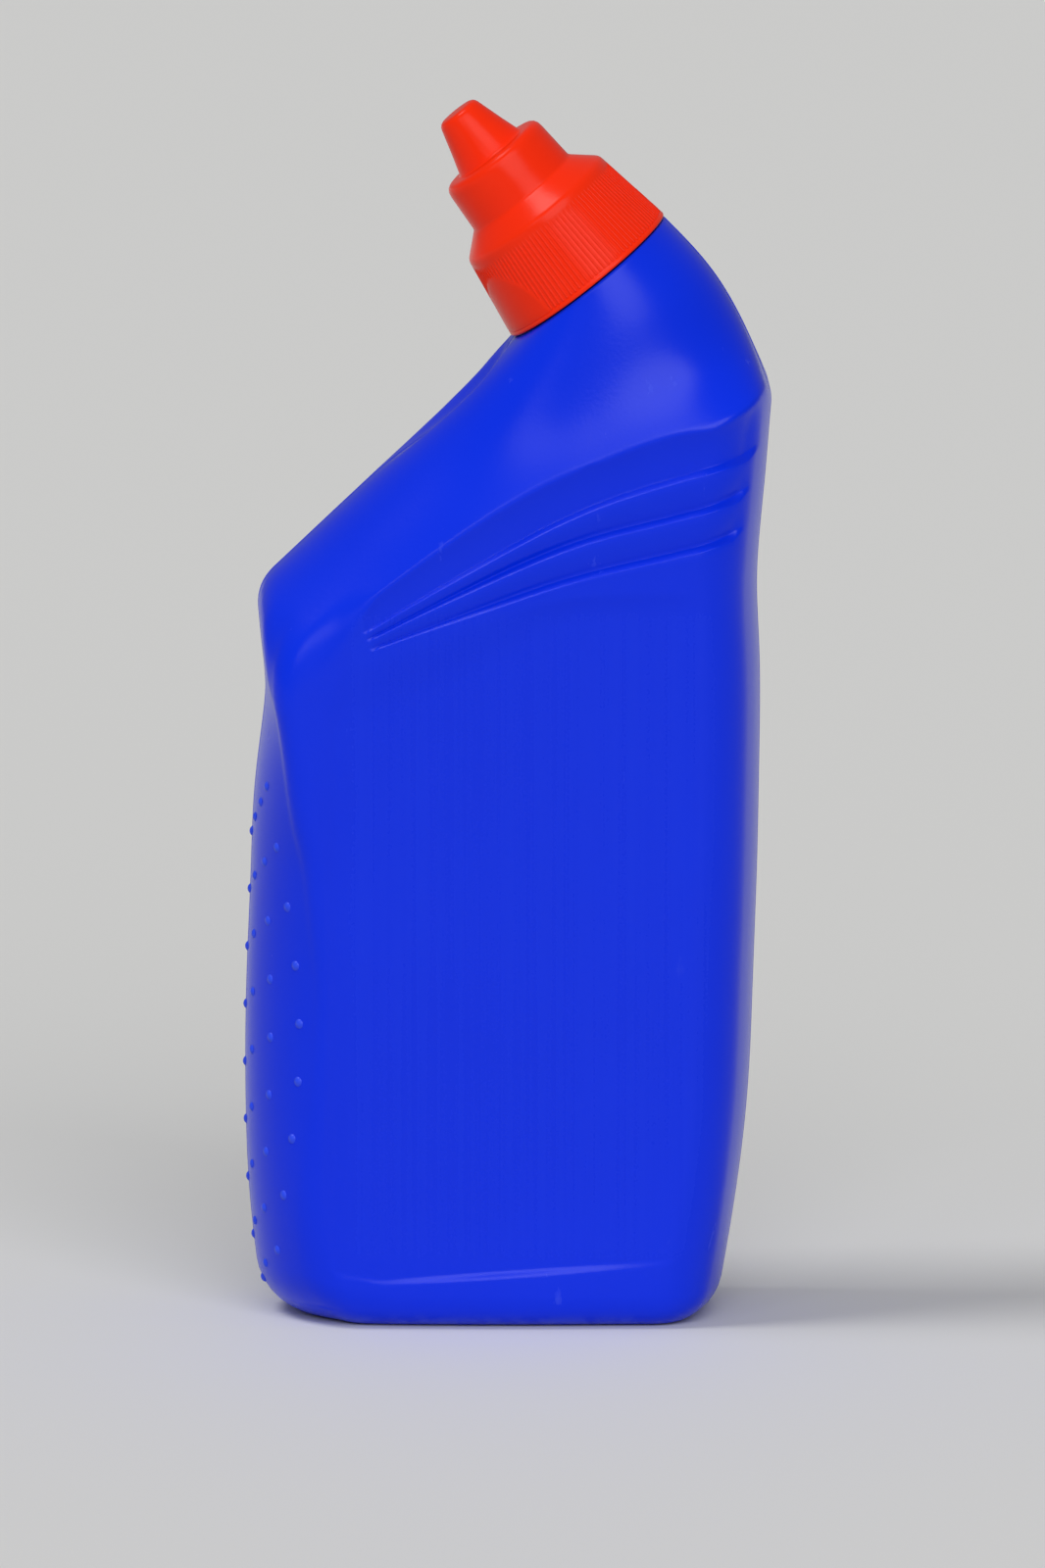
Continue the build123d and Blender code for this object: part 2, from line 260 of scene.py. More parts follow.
# rows of the body from the heel up: each has a height for every column and a depth under the skin
rows = []
back_heel, more_heel, heel_gap = 6.0, 3.0, 2.2
foot_blend, top_blend, above_panel = 1.0, 1.2, 0.8
heel = back_heel + more_heel * (1 - ease(side_x, -42, -18))
foot_line = np.maximum(foot_line, heel + heel_gap)
flush = np.zeros(count)
for a in np.linspace(0, math.pi / 2, 9)[:-1]:
    rows.append((heel * (1 - math.cos(a)), heel * (1 - math.sin(a))))
for t in (0, 0.5):
    rows.append((heel + t * (foot_line - foot_blend - heel), flush))
for t in (-foot_blend, -0.65, -0.3, 0, 0.3, 0.65, foot_blend):
    rows.append((foot_line + t, flush))
low, high = foot_line + foot_blend, top_line - top_blend
for t in np.linspace(0, 1, 68)[1:-1]:
    rows.append((low + t * (high - low), flush))
for t in (-top_blend, -0.8, -0.4, 0, 0.4, above_panel):
    rows.append((top_line + t, flush))

# each scallop rises out of the ledge below it, and its own ledge is a slanted flat step
below, under = top_line + above_panel, flush
for line, depth, lip in reversed(list(zip(lines, depths, lips))):
    foot = line - lip
    for t in (0.12, 0.25, 0.4, 0.58, 0.78):
        rows.append((below + t * (foot - below), under * (1 - t) ** 2.2))
    for t in (0, 0.08, 0.2, 0.5, 0.8, 0.92, 1.0):
        rows.append((foot + t * lip, depth * min(max((t - 0.06) / 0.88, 0), 1)))
    below, under = line, depth
foot = crease[:, 2] - rounding
for t in (0.12, 0.25, 0.4, 0.55, 0.7, 0.82, 0.91):
    rows.append((below + t * (foot - below), under * (1 - t**2.5)))

# the rows as rings, with the label panel sunk flat in the broad side
rings = []
for z, sunk in rows:
    p = body_points(z)
    side = np.gradient(p, axis=0)
    normal = np.stack([-side[:, 1], side[:, 0], np.zeros(count)], axis=1)
    normal[0], normal[-1] = (-1, 0, 0), (1, 0, 0)
    normal /= np.linalg.norm(normal, axis=1)[:, None]
    p = p - normal * sunk[:, None]
    panel = ease(p[:, 0], *panel_front) * (1 - ease(p[:, 0], *panel_back))
    fade = 3.0 + 6.0 * (1 - ease(p[:, 0], -6, 12))
    panel = panel * ease(z, foot_line - 0.8, foot_line + 0.8)
    panel = panel * (1 - ease(z, top_line - fade, top_line + 0.6))
    p[:, 1] -= np.maximum(p[:, 1] - half_depth + panel_depth, 0) * panel
    rings.append(p)

# the crease, rounded from the wall to the shoulder, then the shoulder up to the seat
small = 0.02
speed = np.linalg.norm(fan(meeting - small) - crease, axis=1) / small
over = meeting - rounding / speed
wall_end, roof_end = body_points(foot), fan(over)
for t in np.linspace(0, 1, 9):
    rings.append(wall_end * (1 - t) ** 2 + crease * (2 * t * (1 - t)) + roof_end * t * t)

# the drip channel sunk in the front slope below the seat
channel_length, channel_width, channel_depth, channel_turn = 36.0, 9.6, 2.4, 1.2
slope = np.array([-40.0, 0, 135.0]) - (seat - seat_half)
slope = slope / np.linalg.norm(slope)
into_slope = np.cross(slope, sideways)


def with_channel(p):
    """The shoulder's points with the channel's spoon shape pressed in at the front."""
    run = (p - seat + seat_half) @ slope / channel_length
    width = channel_width * (0.35 + 0.65 * ease(run, -0.05, 0.3)) * np.sqrt(1.02 - np.clip(run, 0, 1))
    cut = np.clip(1 - (p[:, 1] / width) ** 2, 0, 1) ** 1.3
    cut = cut * ease(run, -0.02, 0.25) * (1 - ease(run, 0.3, 1.0))
    return p + into_slope * (channel_depth * cut * (fan_turn < channel_turn))[:, None]


for t in np.linspace(0, 1, 44)[1:]:
    rings.append(with_channel(fan(over * (1 - t))))


# seat, neck and lip on the neck's axis, and the bore down into the shoulder
def rounded(corners, steps=5):
    """(radius, height) points of a turned outline whose (radius, height, round) corners are rounded."""
    points = []
    for i, (r, h, size) in enumerate(corners):
        here = np.array([r, h], float)
        if size == 0 or i in (0, len(corners) - 1):
            points.append(here)
            continue
        ends = []
        for other in (corners[i - 1], corners[i + 1]):
            way = np.array(other[:2], float) - here
            ends.append(here + way * min(size / np.linalg.norm(way), 0.5))
        for t in np.linspace(0, 1, steps):
            points.append(ends[0] * (1 - t) ** 2 + here * (2 * t * (1 - t)) + ends[1] * t * t)
    return points


def on_axis(r, angle, h):
    """A ring of points about the neck's axis: the angle starts at the front."""
    ring = -np.cos(angle)[:, None] * across + np.sin(angle)[:, None] * sideways
    return seat + ring * r + axis * h


neck_radius, neck_height, neck_bore, bead_radius = 12.2, 13.9, 10.0, 13.3
neck = rounded([
    (seat_radius, 0, 0), (16.75, 0.05, 0), (neck_radius, 0.1, 0.8), (neck_radius, 2.2, 0.3),
    (bead_radius, 2.6, 0.4), (bead_radius, 3.4, 0.4), (neck_radius, 3.8, 0.3), (neck_radius, 8.0, 0),
    (neck_radius, neck_height, 0.7), (neck_bore, neck_height, 0.5), (neck_bore, -3.0, 1.5),
    (13.5, -4.6, 0)])
for r, h in neck[1:]:
    rings.append(on_axis(r, fan_turn, h))
outer_count = len(rings)

# the inside wall follows the outside a wall's thickness in, more where it is measured towards the middle
body_allowance, inside_foot, inside_head = 0.9, 7.0, 3.0
out_of_back = np.array([0.75, 0, 0.66])
for t in np.linspace(0.2, 1.0, 12):
    v = over * t
    p, q = fan(v), fan(v + small)
    normal = np.cross(np.gradient(p, axis=0), q - p)
    normal[0], normal[-1] = into_slope, out_of_back
    normal /= np.linalg.norm(normal, axis=1)[:, None]
    normal *= np.sign(normal[:, 2] + 1e-9)[:, None]
    p = p - normal * wall
    p[:, 1] = np.clip(p[:, 1], 0, None)
    rings.append(with_channel(p))
for t in np.linspace(0.97, 0.0, 26):
    p = body_points(inside_foot + (foot - inside_head - inside_foot) * t)
    p[:, :2] *= (1 - (wall + body_allowance) / np.hypot(p[:, 0], p[:, 1]))[:, None]
    rings.append(p)
base_middle = np.array([-3.5, 0, 0])
for share, z in ((0.93, 3.2), (0.85, 1.7), (0.72, 1.6), (0.5, 4.4), (0.25, 4.7)):
    p = base_middle + (body_points(np.full(count, inside_foot)) - base_middle) * share
    p[:, 2] = z
    rings.append(p)

# under the base: the flat ring that it stands on and the oval push-up, from the middle outwards, with
# the share of the oval's size and the height of each row
push_up_length, push_up_depth = 29, 11
push_up = [
    (0.2, 3.0), (0.5, 3.0), (0.72, 2.95), (0.8, 2.7), (0.86, 2.1), (0.92, 1.2), (0.97, 0.35), (1.0, 0)]
under_rows = []
for size, z in push_up:
    ring = [-np.cos(turn) * push_up_length * size, np.sin(turn) * push_up_depth * size, np.full(count, z)]
    under_rows.append(base_middle + np.stack(ring, axis=1))
push_up_edge = under_rows[-1]
for t in (0.35, 0.7):
    under_rows.append(push_up_edge * (1 - t) + rings[0] * t)
rings = under_rows + rings

# the seam of the mould stands up a little along the nose, the shoulder and the back
seam_out, seam_up = 0.1, 0.04
for p in rings[len(under_rows) + 2 : len(under_rows) + outer_count - len(neck) + 1]:
    p[0] += np.array([-seam_out, 0, seam_up])
    p[-1] += np.array([seam_out, 0, seam_up])


def moulded(name, points, faces, merge=0):
    """A smooth mesh object with its faces outwards. Points closer than the merge distance become one."""
    mesh = bpy.data.meshes.new(name)
    mesh.from_pydata((points * MM).tolist(), [], faces)
    form = bmesh.new()
    form.from_mesh(mesh)
    if merge:
        bmesh.ops.remove_doubles(form, verts=form.verts, dist=merge)
    bmesh.ops.recalc_face_normals(form, faces=form.faces)
    form.to_mesh(mesh)
    form.free()
    mesh.shade_smooth()
    made = bpy.data.objects.new(name, mesh)
    bpy.context.scene.collection.objects.link(made)
    return made


# the half rings are mirrored over the mid-plane, and a point closes the skin at each end
full = [np.concatenate([p, (p * (1, -1, 1))[-2:0:-1]]) for p in rings]
around = len(full[0])
points = np.concatenate([[base_middle + (0, 0, 3.0)], *full, [base_middle + (0, 0, 4.7)]])
faces = []
for i in range(len(full) - 1):
    a, b = 1 + i * around, 1 + (i + 1) * around
    for j in range(around):
        k = (j + 1) % around
        faces.append((a + j, a + k, b + k, b + j))
end = len(points) - 1
for j in range(around):
    k = (j + 1) % around
    faces.append((0, 1 + k, 1 + j))
    faces.append((end, end - around + j, end - around + k))
bottle = moulded("bottle_shell", points, faces)


class Socket:
    """A node's output. Arithmetic on it adds Math nodes, and node() adds any other kind."""

    def __init__(self, tree, output=None):
        self.tree, self.output = tree, output

    def node(self, kind, settings=None, inputs=None, result=0):
        made = self.tree.nodes.new(kind)
        for name, value in (settings or {}).items():
            setattr(made, name, value)
        for name, value in (inputs or {}).items():
            if isinstance(value, Socket):
                self.tree.links.new(value.output, made.inputs[name])
            else:
                made.inputs[name].default_value = value
        return Socket(self.tree, made.outputs[result])

    def maths(self, operation, *values):
        return self.node("ShaderNodeMath", {"operation": operation}, dict(enumerate(values)))

    def __add__(self, other):
        return self.maths("ADD", self, other)

    def __sub__(self, other):
        return self.maths("SUBTRACT", self, other)

    def __rsub__(self, other):
        return self.maths("SUBTRACT", other, self)

    def __mul__(self, other):
        return self.maths("MULTIPLY", self, other)

    def __truediv__(self, other):
        return self.maths("DIVIDE", self, other)

    def __mod__(self, other):
        return self.maths("MODULO", self, other)

    def __abs__(self):
        return self.maths("ABSOLUTE", self)

    __radd__ = __add__
    __rmul__ = __mul__

    def step(self, start, end):
        """0 up to the start and 1 from the end, with a soft step between."""
        return self.node("ShaderNodeMapRange", {"interpolation_type": "SMOOTHSTEP"},
                         {"Value": self, "From Min": start, "From Max": end})


def finish(name, roughness, specular):
    """A new plastic: its material, its shader node and the place on the object."""
    material = bpy.data.materials.new(name)
    material.use_nodes = True
    shader = material.node_tree.nodes["Principled BSDF"]
    shader.inputs["Roughness"].default_value = roughness
    shader.inputs["Specular IOR Level"].default_value = specular
    place = Socket(material.node_tree).node("ShaderNodeTexCoord", result="Object")
    return material, shader, place


def feed(shader, name, value):
    """Links a value that changes over the surface to the shader's socket."""
    value.tree.links.new(value.output, shader.inputs[name])


def feed_grain(shader, grain, strength, distance):
    """Links a fine relief to the shader."""
    inputs = {"Strength": strength, "Distance": distance, "Height": grain}
    feed(shader, "Normal", grain.node("ShaderNodeBump", None, inputs))


def noise(place, scale, detail=3.0, stretch=(1, 1, 1), roughness=0.5):
    """Even noise about 0.5 on the object's place, stretched where the mould draws it out."""
    mapped = place.node("ShaderNodeMapping", None, {"Vector": place, "Scale": stretch})
    return place.node("ShaderNodeTexNoise", None,
                      {"Vector": mapped, "Scale": scale, "Detail": detail, "Roughness": roughness})


def mix(factor, first, second):
    """One colour over another."""
    inputs = {"Factor": factor, "A": first, "B": second}
    return factor.node("ShaderNodeMix", {"data_type": "RGBA"}, inputs, 2)


# the blue skin: faint upright streaks on the panel, orange peel, a few scuffs, a worn foot, and a painted
# highlight that makes the dots paler
deep_blue, clear_blue = (0.0004, 0.024, 0.71, 1), (0.0010, 0.029, 0.77, 1)
streak_blue, worn_blue, painted_highlight_dot_blue = (0.008, 0.045, 0.80, 1), (0.09, 0.15, 0.85, 1), (0.06, 0.13, 0.85, 1)
blue, shader, place = finish("blue_polyethylene", 0.25, 0.18)
apart = place.node("ShaderNodeSeparateXYZ", None, {0: place})
px, py, pz = (Socket(blue.node_tree, o) for o in apart.output.node.outputs)
panel = abs(py).step(0.0214, 0.0219) * pz.step(0.010, 0.016) * (1 - pz.step(0.126, 0.131))
panel = panel * px.step(-0.030, -0.026)
streaks = noise(place, 900, 2.0, (1, 0.2, 0.006))
cloud = noise(place, 26)
peel = noise(place, 1500, 2.0)
scuff = noise(place, 240, 4.0, (1, 1, 0.35), 0.7).step(0.66, 0.74) * noise(place, 35, 2.0).step(0.5, 0.62)
worn_foot = (1 - pz.step(0.0004, 0.003)) * noise(place, 300).step(0.4, 0.6)
raised = place.node("ShaderNodeAttribute", {"attribute_name": "raised"}, None, "Fac")
tone = mix(cloud, deep_blue, clear_blue)
tone = mix(panel * streaks.step(0.3, 0.7) * 0.13, tone, streak_blue)
tone = mix(scuff * 0.22 + worn_foot * 0.25, tone, worn_blue)
# painted highlight: the raised dots are mixed towards a paler blue in place of the shine they catch
tone = mix(raised * 0.4, tone, painted_highlight_dot_blue)
feed(shader, "Base Color", tone)
feed(shader, "Roughness", 0.21 + cloud * 0.05 + peel * 0.03 + panel * streaks * 0.06 + scuff * 0.15)
feed_grain(shader, peel * 0.5 + streaks * panel * 0.14 + scuff * 0.12, 0.09, 0.0004)


def tree(name, **sizes):
    """A new node tree for shapes with a mesh input, number inputs and a mesh output."""
    made = bpy.data.node_groups.new(name, "GeometryNodeTree")
    made.interface.new_socket("Geometry", in_out="OUTPUT", socket_type="NodeSocketGeometry")
    made.interface.new_socket("Geometry", in_out="INPUT", socket_type="NodeSocketGeometry")
    for size in sizes:
        made.interface.new_socket(size, in_out="INPUT", socket_type="NodeSocketFloat")
    given = made.nodes.new("NodeGroupInput")
    return made, Socket(made), {o.name: Socket(made, o) for o in given.outputs if o.name}


def settle(target, made, shape, material, **sizes):
    """Ends a tree in realized shapes with their material and makes the object a plain mesh of them."""
    shape = shape.node("GeometryNodeRealizeInstances", None, {0: shape})
    shape = shape.node("GeometryNodeSetMaterial", None, {"Geometry": shape, "Material": material})
    result = made.nodes.new("NodeGroupOutput")
    made.links.new(shape.output, result.inputs[0])
    grow = target.modifiers.new(made.name, "NODES")
    grow.node_group = made
    for item in made.interface.items_tree:
        if item.in_out == "INPUT" and item.name in sizes:
            grow[item.identifier] = sizes[item.name]
    ready = target.evaluated_get(bpy.context.evaluated_depsgraph_get())
    old, target.data = target.data, bpy.data.meshes.new_from_object(ready)
    target.modifiers.clear()
    bpy.data.meshes.remove(old)


def joined(*shapes):
    """Several shapes as one."""
    made = shapes[0].tree.nodes.new("GeometryNodeJoinGeometry")
    for shape in shapes:
        shape.tree.links.new(shape.output, made.inputs[0])
    return Socket(shapes[0].tree, made.outputs[0])


def scaled(way, size):
    """A vector made longer, shorter or turned round."""
    return way.node("ShaderNodeVectorMath", {"operation": "SCALE"}, {0: way, "Scale": size})


def moved(place, way):
    """A place moved along a vector."""
    return place.node("ShaderNodeVectorMath", {"operation": "ADD"}, {0: place, 1: way})


def thread_bar(shapes, size, turns, foot_radius, head_radius, rise):
    """A round bar wound about the upright axis, which runs out at both ends."""
    spiral = shapes.node("GeometryNodeCurveSpiral", None, {
        "Resolution": 64, "Rotations": turns, "Start Radius": foot_radius, "End Radius": head_radius,
        "Height": rise})
    along = shapes.node("GeometryNodeSplineParameter", result="Factor")
    taper = along.step(0, 0.08) * (1 - along.step(0.92, 1))
    spiral = shapes.node("GeometryNodeSetCurveRadius", None, {"Curve": spiral, "Radius": taper})
    bar = shapes.node("GeometryNodeCurvePrimitiveCircle", None, {"Resolution": 8, "Radius": size})
    return shapes.node("GeometryNodeCurveToMesh", None,
                       {"Curve": spiral, "Profile Curve": bar, "Fill Caps": True})


# raised dots in seven staggered columns round the grip, which draw together towards the top and the
# foot, set on the skin by a ray from outside; and the screw thread round the neck. Here sizes are metres.
dot_columns, dot_rows, lowest_dot = 7, 9, 0.006
middle_column = (dot_columns - 1) / 2
ray_start, ray_length = 0.04, 0.06
thread_foot = (seat + axis * 5.4) * MM
sizes = dict(
    dot_radius=0.0011, dot_height=0.00045, dot_pitch=0.01035, dot_stagger=0.0033, dot_highest=0.0959,
    dot_middle=0.05, dot_convergence=0.43, column_angle=math.radians(17.5), grip_centre=-0.0218,
    thread_radius=0.0122, thread_size=0.00085, thread_turns=1.6, thread_rise=0.0062)
made, shapes, given = tree("bottle_dots_and_thread", **sizes)
shell = given["Geometry"]
index = shapes.node("GeometryNodeInputIndex")
column = index.maths("FLOOR", index / dot_rows + 0.001) - middle_column
row = index % dot_rows
drop = (middle_column - abs(column)) * given["dot_stagger"]
height = given["dot_highest"] - drop - row * given["dot_pitch"]
away = (height - given["dot_middle"]) / (given["dot_highest"] - given["dot_middle"])
swing = column * given["column_angle"] * (1 - given["dot_convergence"] * away * away)
way = shapes.node("ShaderNodeCombineXYZ", None, {
    "X": 0 - swing.maths("COSINE", swing), "Y": swing.maths("SINE", swing)})
start = shapes.node("ShaderNodeCombineXYZ", None, {"X": given["grip_centre"], "Z": height})
inward = scaled(way, -1.0)
outside = moved(start, scaled(way, ray_start))
hit = shapes.node("GeometryNodeRaycast", None, {
    "Target Geometry": shell, "Source Position": outside, "Ray Direction": inward,
    "Ray Length": ray_length}, "Hit Distance")
sunk = scaled(inward, hit + given["dot_radius"] - given["dot_height"])
grid = shapes.node("GeometryNodeMeshGrid", None, {"Vertices X": dot_columns, "Vertices Y": dot_rows})
dot_spots = shapes.node("GeometryNodeSetPosition", None, {
    "Geometry": grid, "Position": moved(outside, sunk)})
too_low = shapes.node("FunctionNodeCompare", {"data_type": "FLOAT", "operation": "LESS_THAN"},
                      {0: height, 1: lowest_dot})
dot_spots = shapes.node("GeometryNodeDeleteGeometry", None, {"Geometry": dot_spots, "Selection": too_low})
dot = shapes.node("GeometryNodeMeshUVSphere", None, {
    "Segments": 14, "Rings": 10, "Radius": given["dot_radius"]})
dot = shapes.node("GeometryNodeStoreNamedAttribute", None, {"Geometry": dot, "Name": "raised", "Value": 1.0})
dots = shapes.node("GeometryNodeInstanceOnPoints", None, {"Points": dot_spots, "Instance": dot})
thread = thread_bar(shapes, given["thread_size"], given["thread_turns"], given["thread_radius"],
                    given["thread_radius"], given["thread_rise"])
thread = shapes.node("GeometryNodeTransform", None, {
    "Geometry": thread, "Translation": tuple(thread_foot), "Rotation": (0, -neck_lean, 0)})
extra = shapes.node("GeometryNodeSetShadeSmooth", None, {"Geometry": joined(dots, thread)})
settle(bottle, made, joined(shell, extra), blue, **sizes)
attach(bottle, "bottle_body")
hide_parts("bottle")

# Nozzle insert: an injection-moulded plug of natural polyethylene, pressed into the neck. Its flange
# rests on the neck's lip, and its stepped spout narrows to the drip hole that the cap's pin closes.
plug_out, plug_in, flange, plug_length, flange_height = 9.95, 8.85, 11.8, 10, 1.4
spout_out, spout_in, spout_height = 7.6, 6.5, 19.5
lip, top = neck_height, neck_height + flange_height
plug_foot = lip - plug_length
nozzle_outline = rounded([
    (plug_in, plug_foot, 0), (9.6, plug_foot, 0.2), (plug_out, lip - 9.2, 0.4), (plug_out, lip - 6, 0),
    (plug_out, lip, 0.1), (flange, lip, 0.3), (flange, top, 0.5), (8.3, top, 0.3),
    (spout_out, top + 0.5, 0.4), (spout_out, top + 4, 0), (spout_out, top + 7.5, 0.8),
    (4.4, top + 12.5, 1.0), (3.5, top + 16, 0), (2.6, top + spout_height, 0.5),
    (1.6, top + spout_height, 0.3), (3.3, top + 12.5, 0.8), (spout_in, top + 7.5, 0.8),
    (spout_in, top - 1.1, 0.5), (plug_in, top - 1.1, 0.5), (plug_in, plug_foot, 0)])


def turned(name, outline, around, closed, shape=None):
    """A turned mesh object on the neck's axis; the shape, where given, changes the radius round it."""
    angle = np.linspace(0, 2 * math.pi, around, endpoint=False)
    outline = outline[:-1] if closed else outline
    rings = []
    for r, h in outline:
        radius = shape(r, angle, h) if shape else np.full(around, r)
        rings.append(on_axis(radius[:, None], angle, h))
    faces = []
    for i in range(len(outline) if closed else len(outline) - 1):
        n = (i + 1) % len(outline)
        for j in range(around):
            k = (j + 1) % around
            faces.append((i * around + j, i * around + k, n * around + k, n * around + j))
    return moulded(name, np.concatenate(rings), faces, merge=1e-6)


nozzle = turned("drip_nozzle", nozzle_outline, 96, True)
natural, shader, place = finish("natural_polyethylene", 0.45, 0.5)
shader.inputs["Subsurface Weight"].default_value = 0.25
shader.inputs["Subsurface Radius"].default_value = (0.004, 0.0035, 0.003)
cloud = noise(place, 60)
peel = noise(place, 1800, 2.0)
feed(shader, "Base Color", mix(cloud, (0.74, 0.74, 0.69, 1), (0.86, 0.86, 0.82, 1)))
feed(shader, "Roughness", 0.4 + cloud * 0.08 + peel * 0.05)
feed_grain(shader, peel, 0.06, 0.0003)
nozzle.data.materials.append(natural)
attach(nozzle, "bottle_body")
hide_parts("nozzle_insert")

# Cap: one injection-moulded piece of red polypropylene, screwed on the neck. Its ribbed skirt has two
# smooth squeeze pads; over it stand a plain tier and a tapered finger, and a pin inside shuts the nozzle.
rim_gap = 0.35
rib_count, rib_height, rib_foot, rib_head = 112, 0.17, 1.0, 14.2
skirt_foot_radius, skirt_taper, cap_height = 17.3, 0.161, 37.4


def skirt_radius(h):
    """The skirt's radius over its ribs, which narrows upwards."""
    return skirt_foot_radius - skirt_taper * h


skirt = [(skirt_radius(h) - rib_height * (1 - ease(h, 12.4, 14.1)), h, 0)
         for h in np.arange(1.4, 14.3, 0.5)]
cap_outside = rounded([
    (15.9, 0, 0), (17.2, 0, 0.25), (17.25, 0.35, 0.1), (17.15, 0.75, 0.15), (16.9, 0.95, 0.2), *skirt,
    (14.85, 15.2, 0.7), (11.1, 18.55, 0.5), (10.7, 18.95, 0.4), (10.5, 22, 0), (10.1, 27.8, 1.9),
    (7.0, 27.8, 0.2), (6.62, 28.1, 0.3), (5.6, 31.3, 0), (4.6, 34.7, 0), (3.8, cap_height, 1.1),
    (1.2, cap_height, 0), (0, cap_height, 0)])
cap_inside = rounded([
    (0, 31.6, 0), (1.0, 31.6, 0.2), (1.4, 32.2, 0.3), (1.4, 36.1, 0.3), (3.15, 36.1, 0.5),
    (5.35, 26.5, 0.4), (8.8, 26.5, 0.8), (9.4, 18.9, 0.6), (13.5, 15.2, 0.8), (14.8, 7, 0),
    (15.9, 0, 0)])
cap_outline = [(r, h + rim_gap) for r, h in cap_outside + cap_inside]
pad_turns = (math.radians(32), math.radians(212))
pad_half, pad_height, pad_lift = math.radians(31), 11.2, rib_height + 0.02


def with_pads(r, angle, h):
    """The radius with the two arch-topped pads standing up from the skirt."""
    lift = np.zeros(len(angle))
    if 0.9 < h - rim_gap < 14:
        for pad_turn in pad_turns:
            off = (math.pi - angle - pad_turn + math.pi) % (2 * math.pi) - math.pi
            arch = pad_height * np.sqrt(np.clip(1 - (off / pad_half) ** 2, 0, 1)) - (h - rim_gap)
            lift = np.maximum(lift, ease(arch, -0.25, 0.45))
    return r + pad_lift * lift


cap = turned("screw_cap", cap_outline, 264, False, with_pads)
red, shader, place = finish("red_polypropylene", 0.24, 0.12)
cloud = noise(place, 45)
peel = noise(place, 1700, 2.0)
scuff = noise(place, 500, 4.0, (1, 1, 1), 0.7).step(0.68, 0.76) * noise(place, 60, 2.0).step(0.5, 0.6)
tone = mix(cloud, (0.86, 0.022, 0.002, 1), (0.93, 0.030, 0.004, 1))
tone = mix(scuff * 0.2, tone, (0.95, 0.16, 0.10, 1))
feed(shader, "Base Color", tone)
feed(shader, "Roughness", 0.2 + cloud * 0.05 + peel * 0.03 + scuff * 0.15)
feed_grain(shader, peel, 0.05, 0.0003)

# fine ribs all round the skirt, which the pads cover, and the thread inside that turns on the neck's
cap_thread_foot = 0.0072
sizes = dict(rib_half_width=0.00023, thread_size=0.0008, thread_turns=1.4, thread_rise=0.0055,
             thread_foot_radius=0.01445, thread_head_radius=0.0139)
made, shapes, given = tree("cap_ribs_and_thread", **sizes)
index = shapes.node("GeometryNodeInputIndex")
ring = shapes.node("GeometryNodeMeshLine", None, {"Count": rib_count, "Offset": (0, 0, 0)})
spin = shapes.node("ShaderNodeCombineXYZ", None, {"Z": index * (2 * math.pi / rib_count)})
bar = shapes.node("GeometryNodeCurvePrimitiveLine", None, {
    "Start": ((skirt_radius(rib_foot) - rib_height) * MM, 0, (rib_foot + rim_gap) * MM),
    "End": ((skirt_radius(rib_head) - rib_height) * MM, 0, (rib_head + rim_gap) * MM)})
bar = shapes.node("GeometryNodeResampleCurve", None, {"Curve": bar, "Count": 14})
along = shapes.node("GeometryNodeSplineParameter", result="Factor")
taper = along.step(-0.02, 0.05) * (1 - along.step(0.95, 1.02))
bar = shapes.node("GeometryNodeSetCurveRadius", None, {"Curve": bar, "Radius": taper})
bow = shapes.node("GeometryNodeCurvePrimitiveCircle", None, {
    "Resolution": 8, "Radius": given["rib_half_width"]})
bow = shapes.node("GeometryNodeTransform", None, {"Geometry": bow, "Scale": (1, 0.7, 1)})
bar = shapes.node("GeometryNodeCurveToMesh", None, {"Curve": bar, "Profile Curve": bow, "Fill Caps": True})
ribs = shapes.node("GeometryNodeInstanceOnPoints", None, {"Points": ring, "Instance": bar, "Rotation": spin})
thread = thread_bar(shapes, given["thread_size"], given["thread_turns"], given["thread_foot_radius"],
                    given["thread_head_radius"], given["thread_rise"])
thread = shapes.node("GeometryNodeTransform", None, {
    "Geometry": thread, "Translation": (0, 0, cap_thread_foot)})
extra = shapes.node("GeometryNodeTransform", None, {
    "Geometry": joined(ribs, thread), "Translation": tuple(seat * MM), "Rotation": (0, -neck_lean, 0)})
extra = shapes.node("GeometryNodeSetShadeSmooth", None, {"Geometry": extra})
settle(cap, made, joined(given["Geometry"], extra), red, **sizes)
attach(cap, "cap_body")
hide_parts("cap")

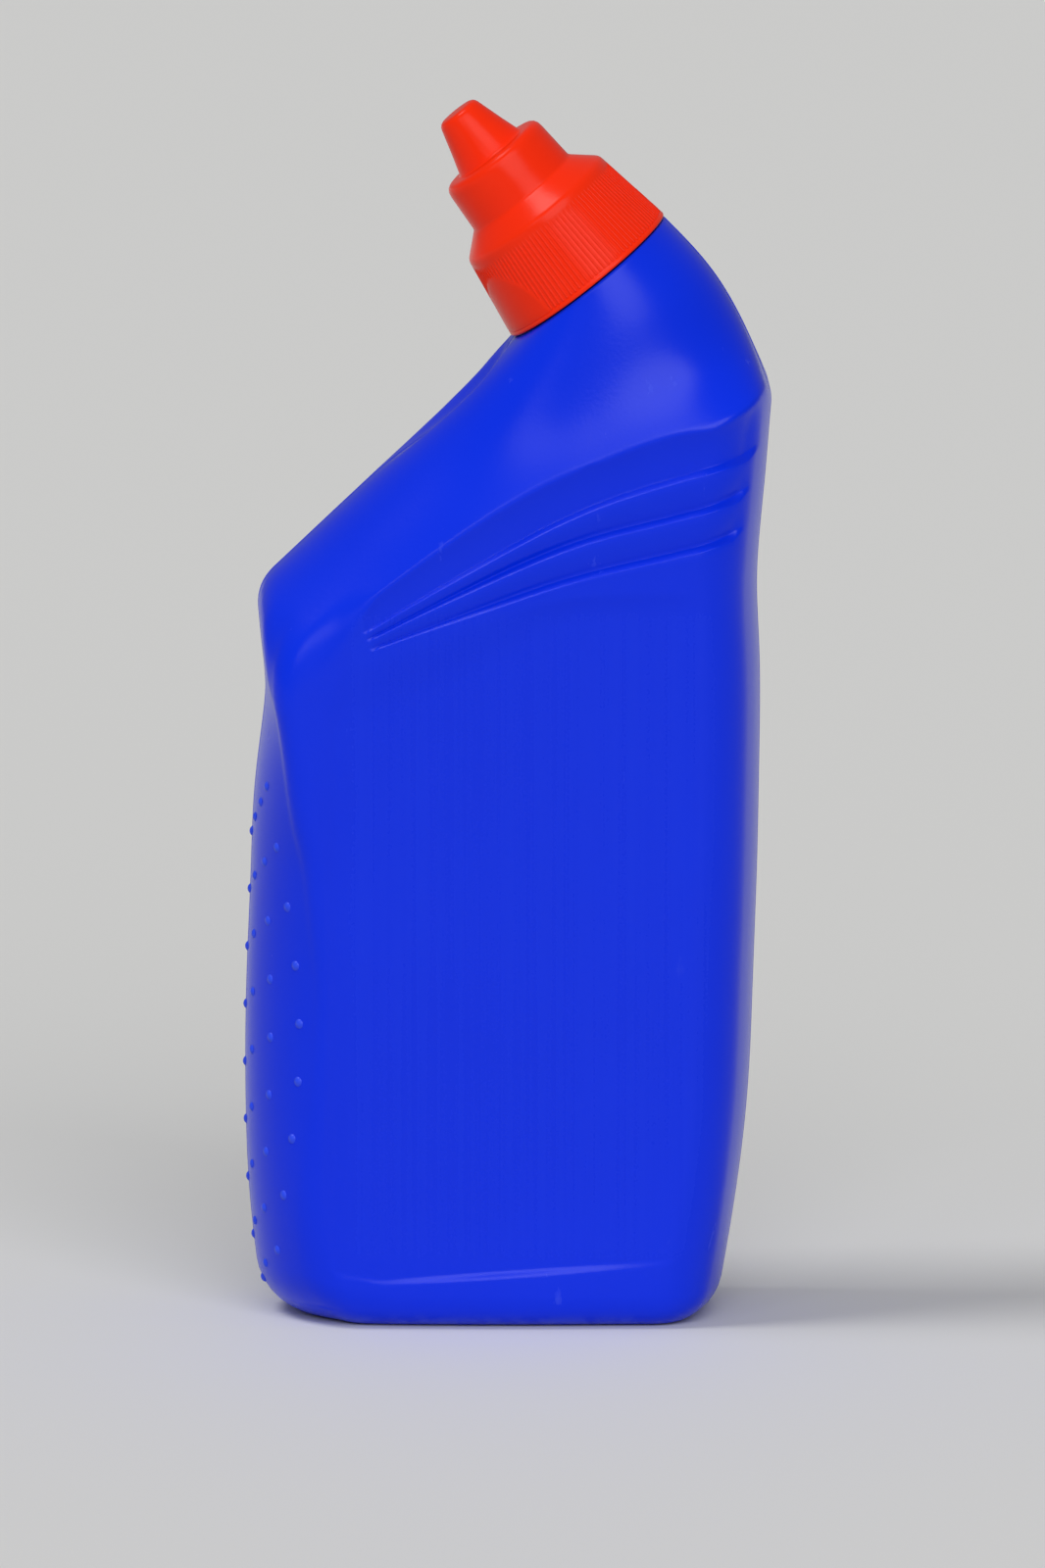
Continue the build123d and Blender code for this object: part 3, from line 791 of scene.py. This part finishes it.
# Floor, light and camera: a wide plain matte floor under an even white sky, soft studio light from the
# front, the left and above, and a long lens that looks down on the broad side at nine degrees.
floor_half = 6
corners = [(-floor_half, -floor_half, 0), (floor_half, -floor_half, 0), (floor_half, floor_half, 0),
           (-floor_half, floor_half, 0)]
floor_mesh = bpy.data.meshes.new("floor")
floor_mesh.from_pydata(corners, [], [(0, 1, 2, 3)])
floor = bpy.data.objects.new("floor", floor_mesh)
bpy.context.scene.collection.objects.link(floor)
pale, shader, _ = finish("pale_floor", 0.7, 0.15)
shader.inputs["Base Color"].default_value = (0.74, 0.74, 0.73, 1)
floor_mesh.materials.append(pale)

world = bpy.data.worlds.new("studio")
bpy.context.scene.world = world
world.use_nodes = True
sky = world.node_tree.nodes["Background"]
sky.inputs["Color"].default_value = (1, 1, 1, 1)
sky.inputs["Strength"].default_value = 0.25


def lamp(name, way, angle, strength):
    """A wide soft lamp far off in this direction."""
    light = bpy.data.lights.new(name, "SUN")
    light.angle = math.radians(angle)
    light.energy = strength
    made = bpy.data.objects.new(name, light)
    made.rotation_euler = Vector(way).to_track_quat("Z", "Y").to_euler()
    bpy.context.scene.collection.objects.link(made)


lamp("front", (0.16, -0.85, 0.5), 44, 1.56)
lamp("left", (-0.42, -0.8, 0.42), 18, 0.18)
lamp("top", (-0.47, -0.1, 0.88), 22, 1.1)

image_height, pixels_in_a_millimetre = 1600, 5.75
lens_distance, lens_height, sensor = 8.0, math.radians(9.3), 36
target = Vector((0.0027, 0, 0.0944))
back = Vector((0, -math.cos(lens_height), math.sin(lens_height)))
camera = bpy.data.objects.new("camera", bpy.data.cameras.new("camera"))
bpy.context.scene.collection.objects.link(camera)
camera.location = target + back * lens_distance
camera.rotation_euler = (-back).to_track_quat("-Z", "Y").to_euler()
camera.data.sensor_width = sensor
camera.data.lens = sensor * lens_distance / (image_height / pixels_in_a_millimetre * MM)
camera.data.clip_end = 50
bpy.context.scene.camera = camera
bpy.context.scene.view_settings.view_transform = "Standard"
